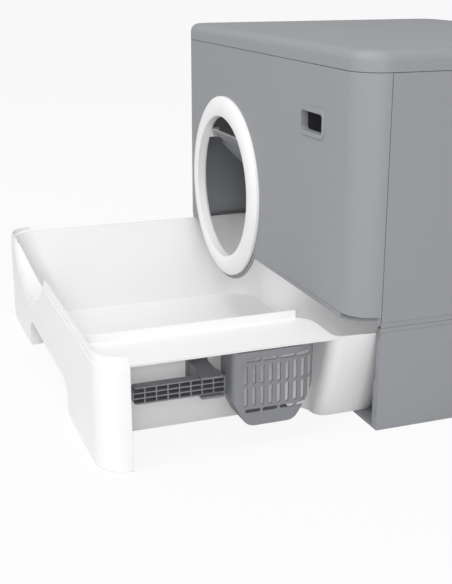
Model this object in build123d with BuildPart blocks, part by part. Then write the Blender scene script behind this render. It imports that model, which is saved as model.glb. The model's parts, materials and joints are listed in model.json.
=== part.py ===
"""Drawer litter box: a two-part housing (open-fronted base and panelled hood with a round cat door),
a drawer tray that pulls out under the hood, and a slotted scoop stored in a bay of the drawer.

Frame: millimetres, +Z up, -Y to the front. The origin is the centre of the closed footprint on the floor.
The model rests with the drawer pulled out and the door flap swung inwards.
"""

import os
from math import sqrt

from build123d import *

os.makedirs("parts", exist_ok=True)

# ---------------------------------------------------------------- driving dimensions
body_width = 560.0  # outer side faces
body_depth = 410.0  # front face to rear face, drawer closed
total_height = 410.0
corner_radius = 33.0  # upright corners, seen from above
wrap_depth = 33.0  # how far front and rear mouldings reach round the corners
wall = 2.5  # moulded skin
seam = 0.6  # shadow gap between neighbouring mouldings
tongue_reach = 3.4  # side panels' tongues behind the wraps
tongue_fit = 0.6
band_step = 0.6  # set-back of the rim bands

base_height = 119.0
base_band = 5.0  # rim band along the top of the base
base_wall = 7.5  # double side wall of the base
base_rail_height = 58.0  # thicker lower part of the side wall
base_rail = 3.3  # how much thicker it is
locating_lip = 4.0  # lip that centres the hood on the base

hood_front_rise = 6.5  # lower edge of the front panel above the base, over the drawer front
hood_band = 6.5  # rim band along the hood's lower edge
cover_height = 21.5  # from the seam under the top cover to its top
cover_edge_radius = 11.0
cover_lip = 8.0  # skirt of the cover inside the panels

door_from_side = 172.0  # centre of the round door, from the far side face
door_z = 200.5
door_clear_radius = 84.0
ring_width = 38.0
ring_proud = 3.7
collar_wall = 2.8
collar_depth = 20.0  # behind the hood's front face
lobe_margin = 5.3  # hood panel showing round the ring
locking_ring_width = 24.0
locking_ring_thickness = 3.0
ring_screw_count = 4
ring_screw_radius = 1.5
ring_boss_radius = 3.5
ring_screw_inset = 16.0  # screw circle in from the ring's edge
ring_screw_bite = 1.8  # how far a screw reaches into the ring
ring_edge = 1.8  # rounded front edges
door_fit = 0.3  # clearance of collar, bosses and bezel in the panel

flap_radius = 80.0
flap_thickness = 2.4
flap_hinge_height = 63.0  # above the door's centre
flap_hinge_depth = 9.0  # behind the hood's front face
flap_above_hinge = 10.0
flap_shoulder = 50.0  # half width beside the hinge
flap_shoulder_drop = 12.0
flap_open_angle = 46.0  # how far it stands swung inwards
pivot_radius = 2.0
pivot_clearance = 0.05
pivot_length = 15.0
flap_bar_radius = 1.7
pivot_seat = 3.5  # how deep the pin sits in the ring's collar
ear_radius = 3.6
ear_length = 8.5
ear_gap = 1.4

handhold_from_side = 116.0  # centre of the handhold, from the near side face
handhold_below_top = 84.5
handhold_width = 65.0
handhold_height = 33.0
handhold_radius = 10.0
handhold_flange = 3.5
handhold_depth = 8.0
handhold_wall = 2.0
handhold_proud = 1.2

drawer_travel = 276.0
front_gap = 0.7  # drawer front to hood
front_wall = 3.0
front_floor_gap = 0.5
front_band = 12.0  # rim band of the drawer front
front_lip = 4.5
notch_clearance = 1.6  # round the hood's lobe
pull_width = 240.0  # finger arch in the drawer front
pull_height = 39.0
pull_radius = 24.0
pull_jamb = 13.0

tray_side_gap = 1.0
tray_rear_gap = 1.5
tray_floor_gap = 0.3
tray_rim_rise = 1.0  # tray rim above the base
ledge_drop = 8.0  # flat ledge over the scoop bay, below the top of the base
tray_wall = 2.5
tray_slope = 42.0  # how far each wall leans in from rim to floor
tray_corner = 45.0
tray_front_corner = 28.0
bay_depth = 78.0  # from the tray's edge in to the bay's wall
bay_end = 55.0  # y of the bay's rear end, drawer closed
bay_radius = 22.0
bay_corner = 14.0  # outer corner where the bay meets the tray's side

scoop_from_side = 12.0  # outer face of the scoop's floor, in from the near side face
scoop_y = -60.0  # back wall of the scoop, drawer closed
scoop_length = 102.0
scoop_bottom = 24.0
scoop_top_gap = 1.0  # under the ledge
scoop_depth = 38.0
scoop_wall = 2.2
scoop_curl = 22.0  # how far the lip bends away from the face
scoop_curl_length = 34.0
scoop_corner = 8.0
scoop_bevel = 30.0
handle_length = 102.0
handle_width = 19.0
handle_depth = 12.0
handle_rib = 1.5
handle_cells = 8
handle_inset = 36.0  # back of the handle, in from the scoop's outer face
slot_width = 4.0
slot_pitch = 9.4
slot_columns = 9
slot_height = 22.0
slot_bar = 17.0
slot_gap = 2.6
slot_shift = 4.0  # slots sit a little above the middle
slot_start_y = -46.0

clip_gap = 0.3
clip_wall = 2.4
clip_length = 25.0
clip_reach = 20.0
clip_plate_height = 44.0
clip_from_bowl = 3.0

# ---------------------------------------------------------------- places worked out from them
front_y = -body_depth / 2
rear_y = body_depth / 2
seam_y = front_y + wrap_depth
rear_seam_y = rear_y - wrap_depth
half_width = body_width / 2
hood_front_bottom = base_height + hood_front_rise
panel_top = total_height - cover_height

door_x = door_from_side - half_width
handhold_x = half_width - handhold_from_side
handhold_z = total_height - handhold_below_top
ring_radius = door_clear_radius + ring_width
collar_radius = door_clear_radius + collar_wall
lobe_radius = ring_radius + lobe_margin
notch_radius = lobe_radius + notch_clearance
hinge_y = front_y + flap_hinge_depth
hinge_z = door_z + flap_hinge_height

drawer_front_top = hood_front_bottom - front_gap
tray_rim = base_height + tray_rim_rise
ledge_height = base_height - ledge_drop
tray_half = half_width - base_wall - tray_side_gap
tray_rear_y = rear_y - base_wall - tray_rear_gap
tray_front_y = front_y + front_wall
tray_bottom = wall + tray_floor_gap
bay_wall_x = tray_half - bay_depth

scoop_face_x = half_width - scoop_from_side
handle_back_x = scoop_face_x - handle_inset
scoop_top = ledge_height - tray_wall - scoop_top_gap
scoop_mid_z = (scoop_bottom + scoop_top) / 2


# ---------------------------------------------------------------- shared outlines
def footprint(inset):
    """Closed outline of the whole box, drawn inset from its outer faces."""
    with BuildSketch() as outline:
        RectangleRounded(body_width - 2 * inset, body_depth - 2 * inset, corner_radius - inset)
    return outline.sketch


def wrap_shell(outer_inset, inner_inset, bottom, top, side, depth):
    """Front (side -1) or rear (side +1) wall that reaches round both corners."""
    with BuildPart() as shell:
        with BuildSketch(Plane.XY.offset(bottom)):
            add(footprint(outer_inset))
            add(footprint(inner_inset), mode=Mode.SUBTRACT)
            with Locations((0, side * (body_depth - depth) / 2)):
                Rectangle(body_width, depth, mode=Mode.INTERSECT)
        extrude(amount=top - bottom)
    return shell.part


def front_area(bottom, top, circle_radius, circle_mode):
    """Slab in the outline of a front moulding: from bottom to top, with the door's circle added or cut."""
    with BuildPart() as slab:
        with BuildSketch(Plane.XZ.offset(-front_y)):
            with Locations((0, (bottom + top) / 2)):
                Rectangle(body_width, top - bottom)
            with Locations((door_x, door_z)):
                Circle(circle_radius, mode=circle_mode)
            with Locations((0, top / 2)):
                Rectangle(body_width, top, mode=Mode.INTERSECT)
        extrude(amount=wrap_depth, both=True)
    return slab.part


def tub(inset, bottom, top):
    """Tapered tray volume with rounded corners; its walls lean in by tray_slope from rim to floor."""
    lean = tray_slope / (tray_rim - tray_bottom)
    with BuildPart() as volume:
        for height in (bottom, top):
            shift = inset + (tray_rim - height) * lean
            half = tray_half - shift
            front = tray_front_y + shift
            rear = tray_rear_y - shift
            with BuildSketch(Plane.XY.offset(height)) as level:
                with Locations((0, (front + rear) / 2)):
                    Rectangle(2 * half, rear - front)
                fillet(level.vertices().group_by(Axis.Y)[0], tray_front_corner)
                fillet(level.vertices().group_by(Axis.Y)[-1], tray_corner)
        loft()
    return volume.part


def bay(grow, bottom, top):
    """Scoop bay on the near side: from the drawer front back to a rounded end, open to the outside."""
    inner_x = bay_wall_x - grow
    end_y = bay_end + grow
    outer_x = half_width + corner_radius
    start_y = front_y - corner_radius
    with BuildPart() as space:
        with BuildSketch(Plane.XY.offset(bottom)) as plan:
            with Locations(((inner_x + outer_x) / 2, (start_y + end_y) / 2)):
                Rectangle(outer_x - inner_x, end_y - start_y)
            fillet(plan.vertices().group_by(Axis.Y)[-1].sort_by(Axis.X)[0], bay_radius + grow)
        extrude(amount=top - bottom)
    return space.part


def round_bay_corner(tray_part, radius, end_y):
    """Round the upright corner where the bay's end meets the tray's leaning side."""
    for edge in tray_part.edges():
        middle = edge @ 0.5
        upright = abs((edge % 0.5).Z) > 0.8
        if upright and abs(middle.Y - end_y) < 0.5 and middle.X > bay_wall_x + bay_radius:
            return tray_part.fillet(radius, [edge])
    raise ValueError("the bay's end has no upright corner")


# ---------------------------------------------------------------- base
with BuildPart() as base_shell:
    with BuildSketch():
        add(footprint(0))
        with Locations((0, wrap_depth / 2)):
            Rectangle(body_width, body_depth - wrap_depth, mode=Mode.INTERSECT)
    extrude(amount=base_height)
    # drawer space, open at the front, with a thicker rail along the foot of each side wall
    for rail, bottom, top in ((base_rail, wall, base_rail_height), (0, base_rail_height, base_height)):
        with BuildSketch(Plane.XY.offset(bottom)):
            add(footprint(base_wall))
            Rectangle(2 * (half_width - base_wall - rail), body_depth, mode=Mode.INTERSECT)
        extrude(amount=top - bottom, mode=Mode.SUBTRACT)
    # the double wall is hollow from below
    with BuildSketch():
        add(footprint(wall))
        add(footprint(base_wall - wall), mode=Mode.SUBTRACT)
        with Locations((0, wrap_depth / 2 + wall)):
            Rectangle(body_width, body_depth - wrap_depth, mode=Mode.INTERSECT)
    extrude(amount=base_height - base_band - wall, mode=Mode.SUBTRACT)
    # set-back rim band
    with BuildSketch(Plane.XY.offset(base_height - base_band)):
        add(footprint(0))
        add(footprint(band_step), mode=Mode.SUBTRACT)
    extrude(amount=base_band, mode=Mode.SUBTRACT)
    # lip that centres the hood
    with BuildSketch(Plane.XY.offset(base_height)):
        add(footprint(wall + seam / 2))
        add(footprint(2 * wall + seam / 2), mode=Mode.SUBTRACT)
        with Locations((0, wrap_depth)):
            Rectangle(body_width, body_depth - wrap_depth, mode=Mode.INTERSECT)
    extrude(amount=locating_lip)

# ---------------------------------------------------------------- hood
lobe_bottom = door_z - lobe_radius
hood_top = panel_top - seam
hood_bottom = base_height + seam / 2
main_shell = wrap_shell(0, wall, lobe_bottom, hood_top, -1, wrap_depth)
main_area = front_area(hood_front_bottom + hood_band, hood_top, lobe_radius - hood_band, Mode.ADD)
band_shell = wrap_shell(band_step, wall, lobe_bottom, hood_top, -1, wrap_depth)
band_area = front_area(hood_front_bottom, hood_top, lobe_radius, Mode.ADD)
door_back = Plane(origin=(door_x, front_y, door_z), x_dir=(1, 0, 0), z_dir=(0, 1, 0))
screw_circle = ring_radius - ring_screw_inset

with BuildPart() as hood_front_panel:
    add(main_shell & main_area)
    add(band_shell & band_area)
    with Locations(door_back):
        Cylinder(collar_radius + door_fit, 4 * wall, mode=Mode.SUBTRACT)
        with PolarLocations(screw_circle, ring_screw_count, start_angle=45):
            Cylinder(ring_boss_radius + door_fit, 4 * wall, mode=Mode.SUBTRACT)
    with BuildSketch(Plane.XZ.offset(-front_y + wall)):
        with Locations((handhold_x, handhold_z)):
            RectangleRounded(
                handhold_width - 2 * handhold_flange + 2 * door_fit,
                handhold_height - 2 * handhold_flange + 2 * door_fit,
                handhold_radius - handhold_flange + door_fit,
            )
    extrude(amount=-4 * wall, mode=Mode.SUBTRACT)

with BuildPart() as hood_rear_panel:
    add(wrap_shell(0, wall, hood_bottom + hood_band, hood_top, 1, wrap_depth))
    add(wrap_shell(band_step, wall, hood_bottom, hood_bottom + hood_band, 1, wrap_depth))


def side_panel(side):
    """Flat side panel with a set-back lower band and a tongue behind each neighbour's edge."""
    length = rear_seam_y - seam_y - 2 * seam
    tongue_height = hood_top - hood_front_bottom - 2 * (cover_lip + locating_lip)
    tongue_z = (hood_top + hood_front_bottom) / 2
    tongue_gap = tongue_fit + wall
    with BuildPart() as panel:
        with Locations((side * (half_width - wall / 2), 0, (hood_top + hood_bottom + hood_band) / 2)):
            Box(wall, length, hood_top - hood_bottom - hood_band)
        with Locations((side * (half_width - (wall + band_step) / 2), 0, hood_bottom + hood_band / 2)):
            Box(wall - band_step, length, hood_band)
        for end in (-1, 1):
            with Locations((side * (half_width - wall - tongue_gap / 2), end * (length - wall) / 2, tongue_z)):
                Box(tongue_gap, wall, tongue_height)
            with Locations((side * (half_width - wall - tongue_fit - wall / 2), end * length / 2, tongue_z)):
                Box(wall, 2 * (tongue_reach + seam), tongue_height)
    return panel.part


with BuildPart() as hood_right_panel:
    add(side_panel(1))

with BuildPart() as hood_left_panel:
    add(side_panel(-1))

with BuildPart() as top_cover:
    with BuildSketch(Plane.XY.offset(panel_top)):
        add(footprint(0))
    extrude(amount=total_height - panel_top)
    fillet(top_cover.faces().sort_by(Axis.Z)[-1].edges(), cover_edge_radius)
    cover_shoulder = total_height - cover_edge_radius
    with BuildSketch(Plane.XY.offset(panel_top)):
        add(footprint(wall))
    extrude(amount=cover_shoulder - panel_top, mode=Mode.SUBTRACT)
    with BuildSketch(Plane.XY.offset(cover_shoulder)):
        add(footprint(cover_edge_radius))
    extrude(amount=cover_edge_radius - wall, mode=Mode.SUBTRACT)
    with BuildSketch(Plane.XY.offset(panel_top - cover_lip)):
        add(footprint(wall + seam / 2))
        add(footprint(2 * wall), mode=Mode.SUBTRACT)
    extrude(amount=cover_shoulder - panel_top + cover_lip)

# ---------------------------------------------------------------- round door
door_section = Plane(origin=(door_x, front_y, door_z), x_dir=(1, 0, 0), z_dir=(0, 0, 1))
pivot_axis = Plane(origin=(door_x, hinge_y, hinge_z), x_dir=(0, 1, 0), z_dir=(1, 0, 0))
pivot_end = sqrt(door_clear_radius**2 - flap_hinge_height**2) + pivot_seat
upwards = (Align.CENTER, Align.CENTER, Align.MIN)

with BuildPart() as door_ring:
    with BuildSketch(door_section) as ring_section:
        with BuildLine():
            Polyline(
                (door_clear_radius, -ring_proud),
                (ring_radius, -ring_proud),
                (ring_radius, 0),
                (collar_radius, 0),
                (collar_radius, collar_depth),
                (door_clear_radius, collar_depth),
                close=True,
            )
        make_face()
        fillet(ring_section.vertices().group_by(Axis.Y)[0], ring_edge)
    revolve(axis=Axis((door_x, front_y, door_z), (0, 1, 0)))
    with Locations(door_back):
        with PolarLocations(screw_circle, ring_screw_count, start_angle=45):
            Cylinder(ring_boss_radius, wall, align=upwards)
    with Locations(door_back.offset(-ring_screw_bite)):
        with PolarLocations(screw_circle, ring_screw_count, start_angle=45):
            Cylinder(ring_screw_radius, ring_screw_bite + wall, align=upwards, mode=Mode.SUBTRACT)
    with Locations(pivot_axis):
        Cylinder(pivot_radius, 2 * pivot_end, mode=Mode.SUBTRACT)

with BuildPart() as door_locking_ring:
    with Locations(door_back.offset(wall)):
        Cylinder(collar_radius + locking_ring_width, locking_ring_thickness, align=upwards)
        Cylinder(collar_radius + door_fit, locking_ring_thickness, align=upwards, mode=Mode.SUBTRACT)
        with PolarLocations(screw_circle, ring_screw_count, start_angle=45):
            Cylinder(ring_screw_radius + door_fit, locking_ring_thickness, align=upwards, mode=Mode.SUBTRACT)

with BuildPart() as ring_screws:
    screw_length = ring_screw_bite + wall + locking_ring_thickness
    with Locations(door_back.offset(-ring_screw_bite)):
        with PolarLocations(screw_circle, ring_screw_count, start_angle=45):
            Cylinder(ring_screw_radius, screw_length, align=upwards)
            with Locations((0, 0, screw_length)):
                Cone(2 * ring_screw_radius, ring_screw_radius, ring_screw_radius, align=upwards)

with BuildPart() as flap_pivots:
    for side in (-1, 1):
        with BuildSketch(pivot_axis.offset(side * pivot_end)):
            Circle(pivot_radius)
        extrude(amount=-side * pivot_length)

flap_plane = Plane(origin=(door_x, hinge_y + flap_thickness / 2, door_z), x_dir=(1, 0, 0), z_dir=(0, -1, 0))
ear_end = sqrt(door_clear_radius**2 - (flap_hinge_height + ear_radius) ** 2) - ear_gap
with BuildPart() as hanging_flap:
    with BuildSketch(flap_plane):
        Circle(flap_radius)
        with BuildLine():
            shoulder_z = flap_hinge_height - flap_shoulder_drop
            flare_z = shoulder_z - flap_radius + flap_shoulder
            Polyline(
                (-flap_shoulder, flap_hinge_height + flap_above_hinge),
                (flap_shoulder, flap_hinge_height + flap_above_hinge),
                (flap_shoulder, shoulder_z),
                (flap_radius, flare_z),
                (flap_radius, -flap_radius),
                (-flap_radius, -flap_radius),
                (-flap_radius, flare_z),
                (-flap_shoulder, shoulder_z),
                close=True,
            )
        make_face(mode=Mode.INTERSECT)
    extrude(amount=flap_thickness)
    with Locations(pivot_axis):
        Cylinder(flap_bar_radius, 2 * ear_end - ear_length)
        for side in (-1, 1):
            with Locations((0, 0, side * (ear_end - ear_length / 2))):
                Cylinder(ear_radius, ear_length)
            with Locations((0, 0, side * ear_end)):
                Cylinder(pivot_radius + pivot_clearance, 2 * ear_length, mode=Mode.SUBTRACT)

with BuildPart() as door_flap:
    add(hanging_flap.part.rotate(Axis((door_x, hinge_y, hinge_z), (1, 0, 0)), flap_open_angle))

with BuildPart() as handhold_bezel:
    with BuildSketch(Plane.XZ.offset(-front_y)):
        with Locations((handhold_x, handhold_z)):
            RectangleRounded(handhold_width, handhold_height, handhold_radius)
    extrude(amount=handhold_proud)
    fillet(handhold_bezel.faces().sort_by(Axis.Y)[0].edges(), 0.8 * handhold_proud)
    for inset, depth, cut in ((handhold_flange, 0, False), (handhold_flange + handhold_wall, handhold_proud, True)):
        with BuildSketch(Plane.XZ.offset(-front_y + depth)):
            with Locations((handhold_x, handhold_z)):
                RectangleRounded(
                    handhold_width - 2 * inset, handhold_height - 2 * inset, handhold_radius - inset
                )
        extrude(amount=-handhold_depth - depth, mode=Mode.SUBTRACT if cut else Mode.ADD)

# ---------------------------------------------------------------- drawer, modelled closed
return_depth = wrap_depth - seam
front_shells = [
    wrap_shell(step * band_step, front_wall, front_floor_gap, drawer_front_top, -1, return_depth)
    for step in (0, 1, 2)
]
front_areas = [
    front_area(0, drawer_front_top - margin, notch_radius + margin, Mode.SUBTRACT)
    for margin in (front_band, front_lip, 0)
]

with BuildPart() as drawer_front:
    for shell, area in zip(front_shells, front_areas):
        add(shell & area)
    # finger arch with a flange behind it
    with BuildSketch(Plane.XZ.offset(-front_y - front_wall)):
        RectangleRounded(pull_width + 2 * wall, 2 * (pull_height + wall), pull_radius + wall)
        with Locations((0, body_width / 2 + front_floor_gap)):
            Rectangle(body_width, body_width, mode=Mode.INTERSECT)
    extrude(amount=-pull_jamb)
    with BuildSketch(Plane.XZ.offset(-front_y + wall)):
        RectangleRounded(pull_width, 2 * pull_height, pull_radius)
    extrude(amount=-wall - front_wall - pull_jamb, mode=Mode.SUBTRACT)

tray_solid = tub(0, tray_bottom, tray_rim) - bay(0, 0, ledge_height - tray_wall)
tray_solid = round_bay_corner(tray_solid, bay_corner, bay_end)
tray_room = tub(tray_wall, tray_bottom + tray_wall, tray_rim + 1) - bay(tray_wall, 0, total_height)
tray_room = round_bay_corner(tray_room, bay_corner - tray_wall, bay_end + tray_wall)

with BuildPart() as litter_tray:
    add(tray_solid)
    # rim that closes the gap to the drawer front, low over the scoop bay and high elsewhere
    for low_x, high_x, height in ((-half_width, bay_wall_x, tray_rim), (bay_wall_x, half_width, ledge_height)):
        with BuildSketch(Plane.XY.offset(height - tray_wall)):
            add(footprint(front_wall))
            with Locations(((low_x + high_x) / 2, front_y + return_depth / 2)):
                Rectangle(high_x - low_x, return_depth, mode=Mode.INTERSECT)
        extrude(amount=tray_wall)
    # saddle under the door's notch, from the drawer front to the tray wall
    with BuildSketch(Plane.XZ.offset(-tray_front_y)):
        with Locations((door_x, door_z)):
            Circle(notch_radius + tray_wall)
        with Locations((0, (tray_rim + lobe_bottom) / 2)):
            Rectangle(body_width, tray_rim - lobe_bottom + 4 * tray_wall, mode=Mode.INTERSECT)
        with Locations((0, tray_rim + half_width)):
            Rectangle(body_width, body_width, mode=Mode.SUBTRACT)
    extrude(amount=-tray_slope / 2)
    add(tray_room, mode=Mode.SUBTRACT)
    with BuildSketch(Plane.XZ.offset(-tray_front_y)):
        with Locations((door_x, door_z)):
            Circle(notch_radius)
    extrude(amount=-tray_slope, mode=Mode.SUBTRACT)
    # the near side is lower, level with the ledge
    with BuildSketch(Plane.XY.offset(ledge_height)):
        with Locations(((bay_wall_x + half_width) / 2, 0)):
            Rectangle(half_width - bay_wall_x, body_depth)
    extrude(amount=tray_rim, mode=Mode.SUBTRACT)

# ---------------------------------------------------------------- scoop, stored in the drawer's bay


def scoop_plan(inset):
    """Section of the bowl seen from above: back wall, flat floor and a lip that curls away at the end."""
    face_x = scoop_face_x - inset
    back_x = scoop_face_x - scoop_depth - 2 * inset
    start_y = scoop_y + inset
    end_y = scoop_y + scoop_length + inset
    with BuildSketch(Plane.XY.offset(scoop_bottom)) as plan:
        with BuildLine():
            Line((back_x, end_y), (back_x, start_y))
            Line((back_x, start_y), (face_x - scoop_corner, start_y))
            TangentArc((face_x - scoop_corner, start_y), (face_x, start_y + scoop_corner), tangent=(1, 0))
            Line((face_x, start_y + scoop_corner), (face_x, end_y - scoop_curl_length))
            TangentArc(
                (face_x, end_y - scoop_curl_length), (face_x - scoop_curl, end_y), tangent=(0, 1)
            )
            Line((face_x - scoop_curl, end_y), (back_x, end_y))
        make_face()
    return plan.sketch


def scoop_side(inset):
    """Outline of the bowl seen from the side: straight at the top, bevelled and rounded at the bottom."""
    start_y = scoop_y + inset
    end_y = scoop_y + scoop_length + inset
    low_z = scoop_bottom + inset
    with BuildSketch(Plane.YZ) as outline:
        with BuildLine():
            Polyline(
                (start_y, scoop_top - inset),
                (start_y, scoop_bottom + scoop_bevel),
                (start_y + scoop_bevel / 2, low_z),
                (end_y - 1.1 * scoop_bevel, low_z),
                (end_y - scoop_bevel / 5, scoop_bottom + 1.2 * scoop_bevel),
                (end_y, scoop_top - inset),
                close=True,
            )
        make_face()
        fillet(outline.vertices().group_by(Axis.Y)[0], 2 * scoop_corner)
        fillet(outline.vertices().group_by(Axis.Y)[-2], scoop_corner)
    return outline.sketch


def scoop_bowl(inset):
    """Bowl volume: the plan raised to full height, cut to the side outline."""
    with BuildPart() as volume:
        extrude(scoop_plan(inset), amount=scoop_top - scoop_bottom)
        extrude(scoop_side(inset), amount=half_width, mode=Mode.INTERSECT)
    return volume.part


with BuildPart() as litter_scoop:
    add(scoop_bowl(0))
    add(scoop_bowl(scoop_wall), mode=Mode.SUBTRACT)
    # two rows of upright slots between two rows of level ones
    with BuildSketch(Plane.YZ.offset(scoop_face_x - scoop_depth)):
        rows_z = scoop_mid_z + slot_shift
        with Locations((slot_start_y + slot_pitch * (slot_columns - 1) / 2, rows_z)):
            with GridLocations(slot_pitch, slot_height + slot_gap, slot_columns, 2):
                SlotOverall(slot_height, slot_width, rotation=90)
            with GridLocations(slot_bar + slot_gap, 2 * slot_height + 5 * slot_gap, 4, 2):
                SlotOverall(slot_bar, slot_width)
    extrude(amount=scoop_depth + 1, mode=Mode.SUBTRACT)
    # ribbed handle, open to the outside
    handle_middle_y = scoop_y - handle_length / 2
    with Locations((handle_back_x + handle_depth / 2, handle_middle_y + scoop_wall / 2, scoop_mid_z)):
        Box(handle_depth, handle_length + scoop_wall, handle_width)
    fillet(
        litter_scoop.edges().filter_by(Axis.X).group_by(Axis.Y)[0], handle_width / 3
    )
    cell_length = (handle_length - handle_rib) / handle_cells
    cell_width = (handle_width - handle_rib) / 3
    with BuildSketch(Plane.YZ.offset(handle_back_x + handle_depth)):
        with Locations((handle_middle_y, scoop_mid_z)):
            with GridLocations(cell_length, cell_width, handle_cells, 3):
                Rectangle(cell_length - handle_rib, cell_width - handle_rib)
    extrude(amount=handle_rib - handle_depth, mode=Mode.SUBTRACT)

with BuildPart() as scoop_clip:
    grip_bottom = scoop_mid_z - handle_width / 2 - clip_gap
    grip_top = scoop_mid_z + handle_width / 2 + clip_gap
    clip_y = scoop_y - clip_length / 2 - clip_from_bowl
    # plate on the bay wall, post, and the two tabs that hold the handle
    with Locations((bay_wall_x + clip_wall / 2, clip_y, scoop_mid_z)):
        Box(clip_wall, clip_length, clip_plate_height)
    with Locations(((bay_wall_x + handle_back_x - clip_gap) / 2, clip_y, scoop_mid_z)):
        Box(
            handle_back_x - clip_gap - bay_wall_x,
            clip_length - 2 * clip_wall,
            handle_width + 2 * clip_gap + 2 * clip_wall,
        )
    for z in (grip_bottom - clip_wall / 2, grip_top + clip_wall / 2):
        with Locations((handle_back_x - clip_gap - clip_wall + clip_reach / 2, clip_y, z)):
            Box(clip_reach, clip_length, clip_wall)
    fillet(scoop_clip.edges().filter_by(Axis.Z).sort_by(Axis.X)[-4:], clip_wall)

# ---------------------------------------------------------------- pieces, in their resting places
opened = Location((0, -drawer_travel, 0))
housing_pieces = {
    "base_shell": base_shell,
    "hood_front_panel": hood_front_panel,
    "hood_right_panel": hood_right_panel,
    "hood_left_panel": hood_left_panel,
    "hood_rear_panel": hood_rear_panel,
    "top_cover": top_cover,
    "door_ring": door_ring,
    "door_locking_ring": door_locking_ring,
    "ring_screws": ring_screws,
    "flap_pivots": flap_pivots,
    "door_flap": door_flap,
    "handhold_bezel": handhold_bezel,
}
drawer_pieces = {
    "drawer_front": drawer_front,
    "litter_tray": litter_tray,
    "litter_scoop": litter_scoop,
    "scoop_clip": scoop_clip,
}
for name, piece in housing_pieces.items():
    piece.part.label = name
    export_step(piece.part, f"parts/{name}.step")
for name, piece in drawer_pieces.items():
    moved = piece.part.moved(opened)
    moved.label = name
    export_step(moved, f"parts/{name}.step")
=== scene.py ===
"""Looks, round door, light and camera for the drawer litter box. Metres, +Z up, -Y to the front."""

import json
import math

import bmesh
import bpy
from mathutils import Matrix, Vector


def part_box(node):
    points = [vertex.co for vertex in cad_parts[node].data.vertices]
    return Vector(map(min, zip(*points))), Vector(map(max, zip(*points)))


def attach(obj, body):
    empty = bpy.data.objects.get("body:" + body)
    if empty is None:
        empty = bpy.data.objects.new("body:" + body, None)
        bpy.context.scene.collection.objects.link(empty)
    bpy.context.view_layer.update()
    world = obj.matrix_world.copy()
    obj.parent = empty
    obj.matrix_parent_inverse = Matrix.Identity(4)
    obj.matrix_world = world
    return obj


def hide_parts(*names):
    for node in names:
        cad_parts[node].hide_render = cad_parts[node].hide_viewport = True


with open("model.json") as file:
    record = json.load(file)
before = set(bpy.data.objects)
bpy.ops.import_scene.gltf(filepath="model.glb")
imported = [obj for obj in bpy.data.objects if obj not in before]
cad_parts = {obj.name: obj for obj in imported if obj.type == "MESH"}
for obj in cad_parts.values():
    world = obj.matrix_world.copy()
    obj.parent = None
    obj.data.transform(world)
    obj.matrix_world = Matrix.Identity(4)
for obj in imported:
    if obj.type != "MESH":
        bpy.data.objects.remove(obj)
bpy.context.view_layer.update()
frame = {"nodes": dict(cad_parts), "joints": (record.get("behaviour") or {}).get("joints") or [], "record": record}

MM = 0.001

# ------------------------------------------------------------------ the photograph's camera
CAMERA_PLACE = (1.1836, -0.6839, 0.4883)
CAMERA_AIM = (-0.89305, 0.33140, -0.30436)
CAMERA_LENS = 62.8  # millimetres, on a 36 mm sensor along the picture's long side
CAMERA_SENSOR = 36
CAMERA_NEAR = 0.01

# ------------------------------------------------------------------ colours, as sRGB hex
HOOD_GREY = "96989C"
DRAWER_WHITE = "F6F6F6"
SCOOP_GREY = "85868B"
FLAP_SMOKE = "C8CACD"
ZINC = "C9CBCD"
FLOOR_WHITE = "E1E1E1"
LAMP_WHITE = (1.0, 1.0, 1.0, 1.0)

# ------------------------------------------------------------------ finishes
POLYPROPYLENE_IOR = 1.49
EDGE_MM = 0.7  # rounding that a mould leaves on every edge
EDGE_SAMPLES = 6
FLOW_MM = 140.0  # size of the faint cloudy tone that the melt's flow leaves
FLOW_GLOSS = 0.04  # how far the flow changes the roughness, each way
MILK_MM = 60.0  # size of the milky clouds in the flap
MILK_TONE = 0.05
BLOTCH_MM = 2.0  # size of the zinc's blotches
SPECKLE_MM = 300.0
SPECKLE_TONE = 0.01
WORLD_LIGHT = 0.5
FLOOR_SEEN_WHITE = 0.9  # share of plain white that the camera sees in the floor
FLOOR_SIZE = 30
FLOOR_DROP = 0.2 * MM  # keeps the floor clear of the base's underside

# ------------------------------------------------------------------ round door
# The real door is wider than the frame's and its ring narrower and rounder, so the ring, its locking ring, the
# panel's hole, the flap and its pivots are made again round the same centre, outer edge and hinge axis.
CLEAR_RADIUS = 96.0 * MM
CREST_PROUD = 8.5 * MM  # the rounded ring stands this far out in the middle of its width
INNER_PROUD = 7.5 * MM  # and this far at its inner edge
OUTER_PROUD = 3.4 * MM  # and this far at its outer edge
COLLAR_WALL = 2.8 * MM
PANEL_WALL = 3.0 * MM
LOCKING_RING_WIDTH = 16.0 * MM
LOCKING_RING_THICKNESS = 3.0 * MM
LUG_HALF_ANGLE = math.radians(5.0)  # half the width of the lugs behind the ring that hold the pivots
DOOR_FIT = 0.3 * MM  # clearance of the collar in the panel and the locking ring

FLAP_RADIUS = 90.0 * MM
FLAP_THICKNESS = 2.4 * MM
FLAP_ABOVE_HINGE = 13.0 * MM
FLAP_SHOULDER = 54.0 * MM  # half width beside the hinge
FLAP_SHOULDER_DROP = 20.0 * MM  # clears the ring when the flap swings out
FLAP_OPEN_ANGLE = math.radians(46.0)  # how far it stands swung inwards
PIVOT_RADIUS = 2.0 * MM
PIVOT_LENGTH = 15.0 * MM
PIVOT_SEAT = 3.5 * MM  # how deep the pin sits in its lug
BAR_RADIUS = 1.7 * MM
EAR_RADIUS = 3.6 * MM
EAR_GAP = 1.4 * MM
EAR_BITE = 4.0 * MM  # how far the ears reach in over the flap

RING_STEPS = 128  # divisions of a full turn
ROD_STEPS = 32
FLAP_STEPS = 64
CREST_POINTS = 13  # across the ring's rounded face
FEWEST_STEPS = 8
SHARP_ANGLE = math.radians(32)  # edges sharper than this stay sharp
FLAT_ANGLE = math.radians(0.3)  # faces closer than this are one flat face
SAME_POINT = 0.002 * MM


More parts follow.
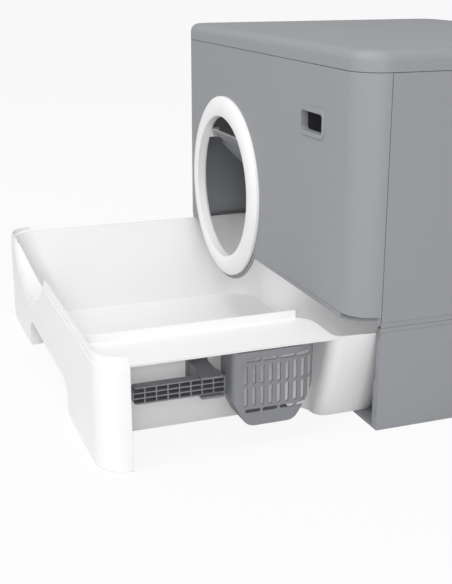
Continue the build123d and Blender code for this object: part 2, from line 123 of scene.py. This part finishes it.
# ------------------------------------------------------------------ materials
def linear(hex_colour):
    """sRGB hex to linear RGBA."""
    levels = [int(hex_colour[i : i + 2], 16) / 255 for i in (0, 2, 4)]
    return (*[c / 12.92 if c <= 0.04045 else ((c + 0.055) / 1.055) ** 2.4 for c in levels], 1.0)


def shade(colour, factor):
    """A linear colour made darker or lighter."""
    return (*[min(1.0, level * factor) for level in colour[:3]], 1.0)


def add_node(tree, kind, settings=None, inputs=None):
    """Adds a node: settings are its own properties, inputs are values or links for its sockets."""
    node = tree.nodes.new(kind)
    for name, value in (settings or {}).items():
        setattr(node, name, value)
    for name, value in (inputs or {}).items():
        if isinstance(value, bpy.types.NodeSocket):
            tree.links.new(value, node.inputs[name])
        else:
            node.inputs[name].default_value = value
    return node


def new_material(name):
    """Empty node material, and the object's own coordinates."""
    material = bpy.data.materials.new(name)
    material.use_nodes = True
    tree = material.node_tree
    tree.nodes.clear()
    place = add_node(tree, "ShaderNodeTexCoord").outputs["Object"]
    return material, tree, place


def clouds(tree, place, size_mm, detail=2.0, roughness=0.5):
    """Soft pattern of clouds about size_mm across."""
    noise = {"Vector": place, "Scale": 1 / (size_mm * MM), "Detail": detail, "Roughness": roughness}
    return add_node(tree, "ShaderNodeTexNoise", inputs=noise).outputs["Fac"]


def two_tone(tree, factor, low, high):
    """Colour that runs from low to high with the factor."""
    ramp = add_node(tree, "ShaderNodeValToRGB", inputs={"Fac": factor})
    ramp.color_ramp.elements[0].color = low
    ramp.color_ramp.elements[1].color = high
    return ramp.outputs["Color"]


def moulded_plastic(name, colour, roughness, grain_mm, grain_depth_mm, tone):
    """Injection-moulded polypropylene: an even satin skin, with the fine grain of the mould's spark-eroded
    wall, and a faint cloudy difference of tone and gloss where the melt flowed."""
    material, tree, place = new_material(name)
    flow = clouds(tree, place, FLOW_MM, detail=3.0, roughness=0.55)
    base = linear(colour)
    skin = two_tone(tree, flow, shade(base, 1 - tone), shade(base, 1 + tone))
    gloss_range = {"Value": flow, "To Min": roughness - FLOW_GLOSS, "To Max": roughness + FLOW_GLOSS}
    gloss = add_node(tree, "ShaderNodeMapRange", inputs=gloss_range)
    edge = add_node(tree, "ShaderNodeBevel", {"samples": EDGE_SAMPLES}, {"Radius": EDGE_MM * MM})
    bump = add_node(
        tree,
        "ShaderNodeBump",
        inputs={
            "Height": clouds(tree, place, grain_mm, roughness=0.6),
            "Distance": grain_depth_mm * MM,
            "Strength": 1.0,
            "Normal": edge.outputs["Normal"],
        },
    )
    shader = add_node(
        tree,
        "ShaderNodeBsdfPrincipled",
        inputs={
            "Base Color": skin,
            "Roughness": gloss.outputs["Result"],
            "IOR": POLYPROPYLENE_IOR,
            "Normal": bump.outputs["Normal"],
        },
    )
    add_node(tree, "ShaderNodeOutputMaterial", inputs={"Surface": shader.outputs[0]})
    return material


def smoked_flap_plastic():
    """Smoke-tinted translucent polypropylene, moulded thin: milky inside, with a soft sheen on its skin."""
    material, tree, place = new_material("smoked_flap_plastic")
    milk = clouds(tree, place, MILK_MM)
    base = linear(FLAP_SMOKE)
    shader = add_node(
        tree,
        "ShaderNodeBsdfPrincipled",
        inputs={
            "Base Color": two_tone(tree, milk, shade(base, 1 - MILK_TONE), shade(base, 1 + MILK_TONE)),
            "Roughness": 0.28,
            "IOR": POLYPROPYLENE_IOR,
            "Transmission Weight": 0.6,
        },
    )
    add_node(tree, "ShaderNodeOutputMaterial", inputs={"Surface": shader.outputs[0]})
    return material


def zinc_plate():
    """Zinc-plated steel: a bright bluish metal with faint blotches of gloss."""
    material, tree, place = new_material("zinc_plated_steel")
    gloss_range = {"Value": clouds(tree, place, BLOTCH_MM), "To Min": 0.25, "To Max": 0.42}
    gloss = add_node(tree, "ShaderNodeMapRange", inputs=gloss_range)
    shader = add_node(
        tree,
        "ShaderNodeBsdfPrincipled",
        inputs={"Base Color": linear(ZINC), "Metallic": 1.0, "Roughness": gloss.outputs["Result"]},
    )
    add_node(tree, "ShaderNodeOutputMaterial", inputs={"Surface": shader.outputs[0]})
    return material


def pale_floor():
    """Matt floor that keeps the object's shadow and looks almost white to the camera."""
    material, tree, place = new_material("pale_floor_paint")
    base = linear(FLOOR_WHITE)
    tone = two_tone(tree, clouds(tree, place, SPECKLE_MM), shade(base, 1 - SPECKLE_TONE), base)
    paint = add_node(tree, "ShaderNodeBsdfDiffuse", inputs={"Color": tone})
    glow = add_node(tree, "ShaderNodeEmission", inputs={"Color": LAMP_WHITE, "Strength": 1.0})
    path = add_node(tree, "ShaderNodeLightPath")
    seen_inputs = {0: path.outputs["Is Camera Ray"], 1: FLOOR_SEEN_WHITE}
    seen = add_node(tree, "ShaderNodeMath", {"operation": "MULTIPLY"}, seen_inputs)
    mix_inputs = {0: seen.outputs[0], 1: paint.outputs[0], 2: glow.outputs[0]}
    mix = add_node(tree, "ShaderNodeMixShader", inputs=mix_inputs)
    add_node(tree, "ShaderNodeOutputMaterial", inputs={"Surface": mix.outputs[0]})
    return material


hood_plastic = moulded_plastic(
    "grey_moulded_polypropylene", HOOD_GREY, roughness=0.52, grain_mm=1.1, grain_depth_mm=0.05, tone=0.02
)
drawer_plastic = moulded_plastic(
    "white_moulded_polypropylene", DRAWER_WHITE, roughness=0.42, grain_mm=1.4, grain_depth_mm=0.03, tone=0.01
)
scoop_plastic = moulded_plastic(
    "dark_moulded_polypropylene", SCOOP_GREY, roughness=0.45, grain_mm=0.9, grain_depth_mm=0.04, tone=0.03
)
flap_plastic = smoked_flap_plastic()
screw_steel = zinc_plate()

finishes = {
    "grey_moulding": hood_plastic,
    "white_moulding": drawer_plastic,
    "dark_moulding": scoop_plastic,
    "smoke_flap": flap_plastic,
    "screw_steel": screw_steel,
}
for subpart in frame["record"]["subparts"]:
    mesh = frame["nodes"][subpart["node"]].data
    mesh.materials.clear()
    mesh.materials.append(finishes[subpart["material_slot"]])


# ------------------------------------------------------------------ shapes
def new_piece(name, shape, finish, body, *replaced):
    """Piece made from a bmesh, smooth except at its sharp edges, that rides on a body and stands for CAD nodes."""
    bmesh.ops.recalc_face_normals(shape, faces=shape.faces)
    mesh = bpy.data.meshes.new(name)
    shape.to_mesh(mesh)
    shape.free()
    mesh.shade_smooth()
    mesh.set_sharp_from_angle(angle=SHARP_ANGLE)
    mesh.materials.append(finish)
    piece = bpy.data.objects.new(name, mesh)
    bpy.context.scene.collection.objects.link(piece)
    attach(piece, body)
    if replaced:
        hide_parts(*replaced)
    return piece


def add_walls(shape, here, there):
    """Adds the faces between two closed loops that have equally many corners."""
    for i in range(len(here)):
        j = (i + 1) % len(here)
        shape.faces.new((here[i], here[j], there[j], there[i]))


def add_prism(shape, *outlines):
    """Adds a closed solid between two outlines."""
    ends = [[shape.verts.new(point) for point in outline] for outline in outlines]
    add_walls(shape, *ends)
    for end in ends:
        shape.faces.new(end)


def add_rod(shape, radius, start_x, end_x):
    """Adds a round rod along the hinge's line."""
    turns = [2 * math.pi * step / ROD_STEPS for step in range(ROD_STEPS)]
    circle = [(hinge.y + radius * math.cos(turn), hinge.z + radius * math.sin(turn)) for turn in turns]
    add_prism(shape, [(start_x, y, z) for y, z in circle], [(end_x, y, z) for y, z in circle])


def add_turned(shape, section, start=0.0, sweep=2 * math.pi):
    """Adds a closed section of (radius, depth behind the panel's face), turned round the door's centre."""
    whole = sweep == 2 * math.pi
    steps = max(FEWEST_STEPS, round(RING_STEPS * sweep / (2 * math.pi)))
    loops = []
    for step in range(steps if whole else steps + 1):
        angle = start + sweep * step / steps
        outwards = Vector((math.cos(angle), 0, math.sin(angle)))
        loops.append([shape.verts.new(door + radius * outwards + Vector((0, y, 0))) for radius, y in section])
    for step in range(steps):
        add_walls(shape, loops[step], loops[(step + 1) % len(loops)])
    if not whole:
        shape.faces.new(loops[0])
        shape.faces.new(loops[-1])


def arc_points(first, middle, last, count):
    """Points on the circle through three points, from first to last."""
    (ax, ay), (bx, by), (cx, cy) = first, middle, last
    d = 2 * (ax * (by - cy) + bx * (cy - ay) + cx * (ay - by))
    a, b, c = ax * ax + ay * ay, bx * bx + by * by, cx * cx + cy * cy
    x = (a * (by - cy) + b * (cy - ay) + c * (ay - by)) / d
    y = (a * (cx - bx) + b * (ax - cx) + c * (bx - ax)) / d
    radius = math.hypot(ax - x, ay - y)
    from_angle, to_angle = math.atan2(ay - y, ax - x), math.atan2(cy - y, cx - x)
    angles = [from_angle + (to_angle - from_angle) * i / (count - 1) for i in range(count)]
    return [(x + radius * math.cos(t), y + radius * math.sin(t)) for t in angles]


# ------------------------------------------------------------------ places taken from the frame
ring_low, ring_high = (Vector(corner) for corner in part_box("door_ring"))
panel_low = Vector(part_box("hood_front_panel")[0])
hinge = Vector(next(joint["pos_m"] for joint in frame["joints"] if joint["name"] == "flap_swing"))
door = Vector(((ring_low.x + ring_high.x) / 2, panel_low.y, (ring_low.z + ring_high.z) / 2))
hinge_rise = hinge.z - door.z
ring_radius = (ring_high.x - ring_low.x) / 2
collar_radius = CLEAR_RADIUS + COLLAR_WALL
hole_radius = collar_radius + DOOR_FIT
half_chord = math.sqrt(CLEAR_RADIUS**2 - hinge_rise**2)  # half the door's width at the hinge


def make_door_ring():
    """Rounded ring with a collar in the panel's hole, and two lugs behind it for the flap's pivots."""
    face = arc_points(
        (CLEAR_RADIUS, -INNER_PROUD),
        ((CLEAR_RADIUS + ring_radius) / 2, -CREST_PROUD),
        (ring_radius, -OUTER_PROUD),
        CREST_POINTS,
    )
    back = [(ring_radius, 0), (collar_radius, 0), (collar_radius, PANEL_WALL), (CLEAR_RADIUS, PANEL_WALL)]
    shape = bmesh.new()
    add_turned(shape, face + back)
    lug_end = hinge.y - door.y + EAR_RADIUS + COLLAR_WALL
    lug = [(CLEAR_RADIUS, 0), (collar_radius, 0), (collar_radius, lug_end), (CLEAR_RADIUS, lug_end)]
    pivot_angle = math.atan2(hinge_rise, half_chord)
    for angle in (pivot_angle, math.pi - pivot_angle):
        add_turned(shape, lug, angle - LUG_HALF_ANGLE, 2 * LUG_HALF_ANGLE)
    new_piece("door_ring_rounded", shape, drawer_plastic, "hood", "door_ring")


def make_locking_ring():
    """Flat ring on the panel's back that the screws draw the door ring to."""
    back = PANEL_WALL + LOCKING_RING_THICKNESS
    outer_radius = collar_radius + LOCKING_RING_WIDTH
    shape = bmesh.new()
    add_turned(
        shape, [(hole_radius, PANEL_WALL), (outer_radius, PANEL_WALL), (outer_radius, back), (hole_radius, back)]
    )
    new_piece("locking_ring_wide", shape, drawer_plastic, "hood", "door_locking_ring")


def make_pivots():
    """Two pins, each from its lug into one of the flap's ears."""
    pivot_end = half_chord + PIVOT_SEAT
    shape = bmesh.new()
    for side in (-1, 1):
        add_rod(
            shape, PIVOT_RADIUS, door.x + side * (pivot_end - PIVOT_LENGTH), door.x + side * pivot_end
        )
    new_piece("flap_pivot_pins", shape, screw_steel, "hood", "flap_pivots")


def make_flap():
    """Round flap with a hinge bar and two ears, drawn hanging straight down and then swung open."""
    top_rise = hinge_rise + FLAP_ABOVE_HINGE
    shoulder_rise = hinge_rise - FLAP_SHOULDER_DROP
    shoulder_angle = math.asin(shoulder_rise / FLAP_RADIUS)
    start, sweep = math.pi - shoulder_angle, math.pi + 2 * shoulder_angle
    turns = [start + sweep * step / FLAP_STEPS for step in range(FLAP_STEPS + 1)]
    outline = [
        (FLAP_SHOULDER, shoulder_rise),
        (FLAP_SHOULDER, top_rise),
        (-FLAP_SHOULDER, top_rise),
        (-FLAP_SHOULDER, shoulder_rise),
        *[(FLAP_RADIUS * math.cos(turn), FLAP_RADIUS * math.sin(turn)) for turn in turns],
    ]
    shape = bmesh.new()
    skins = (hinge.y - FLAP_THICKNESS / 2, hinge.y + FLAP_THICKNESS / 2)
    add_prism(shape, *[[(door.x + across, y, door.z + rise) for across, rise in outline] for y in skins])
    add_rod(shape, BAR_RADIUS, door.x - FLAP_SHOULDER, door.x + FLAP_SHOULDER)
    ear_end = math.sqrt(CLEAR_RADIUS**2 - (hinge_rise + EAR_RADIUS) ** 2) - EAR_GAP
    for side in (-1, 1):
        add_rod(shape, EAR_RADIUS, door.x + side * (FLAP_SHOULDER - EAR_BITE), door.x + side * ear_end)
    swing = Matrix.Rotation(FLAP_OPEN_ANGLE, 3, "X")
    bmesh.ops.rotate(shape, cent=hinge, matrix=swing, verts=shape.verts)
    new_piece("smoked_flap", shape, flap_plastic, "flap", "door_flap")


def make_front_panel():
    """The frame's front panel with a wider hole for the ring's collar."""
    shape = bmesh.new()
    shape.from_mesh(frame["nodes"]["hood_front_panel"].data)
    bmesh.ops.remove_doubles(shape, verts=shape.verts, dist=SAME_POINT)
    bmesh.ops.dissolve_limit(shape, angle_limit=FLAT_ANGLE, verts=shape.verts, edges=shape.edges)
    panel = new_piece("hood_front_wide_door", shape, hood_plastic, "hood")
    bpy.ops.mesh.primitive_cylinder_add(
        vertices=RING_STEPS,
        radius=hole_radius,
        depth=8 * PANEL_WALL,  # well past both faces of the panel
        location=door,
        rotation=(math.pi / 2, 0, 0),
    )
    cutter = bpy.context.object
    hole = panel.modifiers.new("door_hole", "BOOLEAN")
    hole.object = cutter
    hole.operation = "DIFFERENCE"
    hole.solver = "EXACT"
    cut_panel = panel.evaluated_get(bpy.context.evaluated_depsgraph_get())
    cut_mesh = bpy.data.meshes.new_from_object(cut_panel)
    panel.modifiers.clear()
    panel.data = cut_mesh
    cut_mesh.set_sharp_from_angle(angle=SHARP_ANGLE)
    bpy.data.objects.remove(cutter)
    # Large flat faces keep their own shading next to the rounded corners.
    flat_shading = panel.modifiers.new("flat_faces_shade_flat", "WEIGHTED_NORMAL")
    flat_shading.mode = "FACE_AREA"
    flat_shading.weight = 100
    flat_shading.keep_sharp = True
    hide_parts("hood_front_panel")


make_door_ring()
make_locking_ring()
make_pivots()
make_flap()
make_front_panel()

# ------------------------------------------------------------------ floor, world and lamps
bpy.ops.mesh.primitive_plane_add(size=FLOOR_SIZE, location=(0, 0, -FLOOR_DROP))
floor = bpy.context.object
floor.name = "floor"
floor.data.materials.append(pale_floor())


def light_world():
    """Soft even light, white to the camera and through the flap."""
    world = bpy.data.worlds.new("soft_studio")
    bpy.context.scene.world = world
    world.use_nodes = True
    tree = world.node_tree
    tree.nodes.clear()
    path = add_node(tree, "ShaderNodeLightPath")
    rays = {0: path.outputs["Is Camera Ray"], 1: path.outputs["Is Transmission Ray"]}
    sees_white = add_node(tree, "ShaderNodeMath", {"operation": "MAXIMUM"}, rays)
    levels = {"Value": sees_white.outputs[0], "To Min": WORLD_LIGHT, "To Max": 1.0}
    level = add_node(tree, "ShaderNodeMapRange", inputs=levels)
    sky_inputs = {"Color": LAMP_WHITE, "Strength": level.outputs["Result"]}
    sky = add_node(tree, "ShaderNodeBackground", inputs=sky_inputs)
    add_node(tree, "ShaderNodeOutputWorld", inputs={"Surface": sky.outputs[0]})


def softbox(name, place, aim, size, power):
    """Square area lamp at a place, turned towards a point."""
    lamp = bpy.data.lights.new(name, "AREA")
    lamp.shape = "SQUARE"
    lamp.size = size
    lamp.energy = power
    holder = bpy.data.objects.new(name, lamp)
    bpy.context.scene.collection.objects.link(holder)
    holder.location = place
    holder.rotation_euler = (Vector(aim) - Vector(place)).to_track_quat("-Z", "Y").to_euler()
    holder.visible_camera = False


light_world()
softbox("key_softbox", place=(0.45, -1.75, 2.66), aim=(0, -0.1, 0.2), size=1.8, power=49.0)
softbox("side_softbox", place=(2.62, -0.82, 0.91), aim=(0.2, -0.3, 0.1), size=1.2, power=21.5)

# ------------------------------------------------------------------ camera
camera = bpy.data.objects.new("camera", bpy.data.cameras.new("camera"))
bpy.context.scene.collection.objects.link(camera)
camera.location = CAMERA_PLACE
camera.rotation_euler = Vector(CAMERA_AIM).to_track_quat("-Z", "Y").to_euler()
camera.data.sensor_width = CAMERA_SENSOR
camera.data.sensor_fit = "AUTO"
camera.data.lens = CAMERA_LENS
camera.data.clip_start = CAMERA_NEAR
bpy.context.scene.camera = camera
bpy.context.scene.view_settings.view_transform = "Standard"
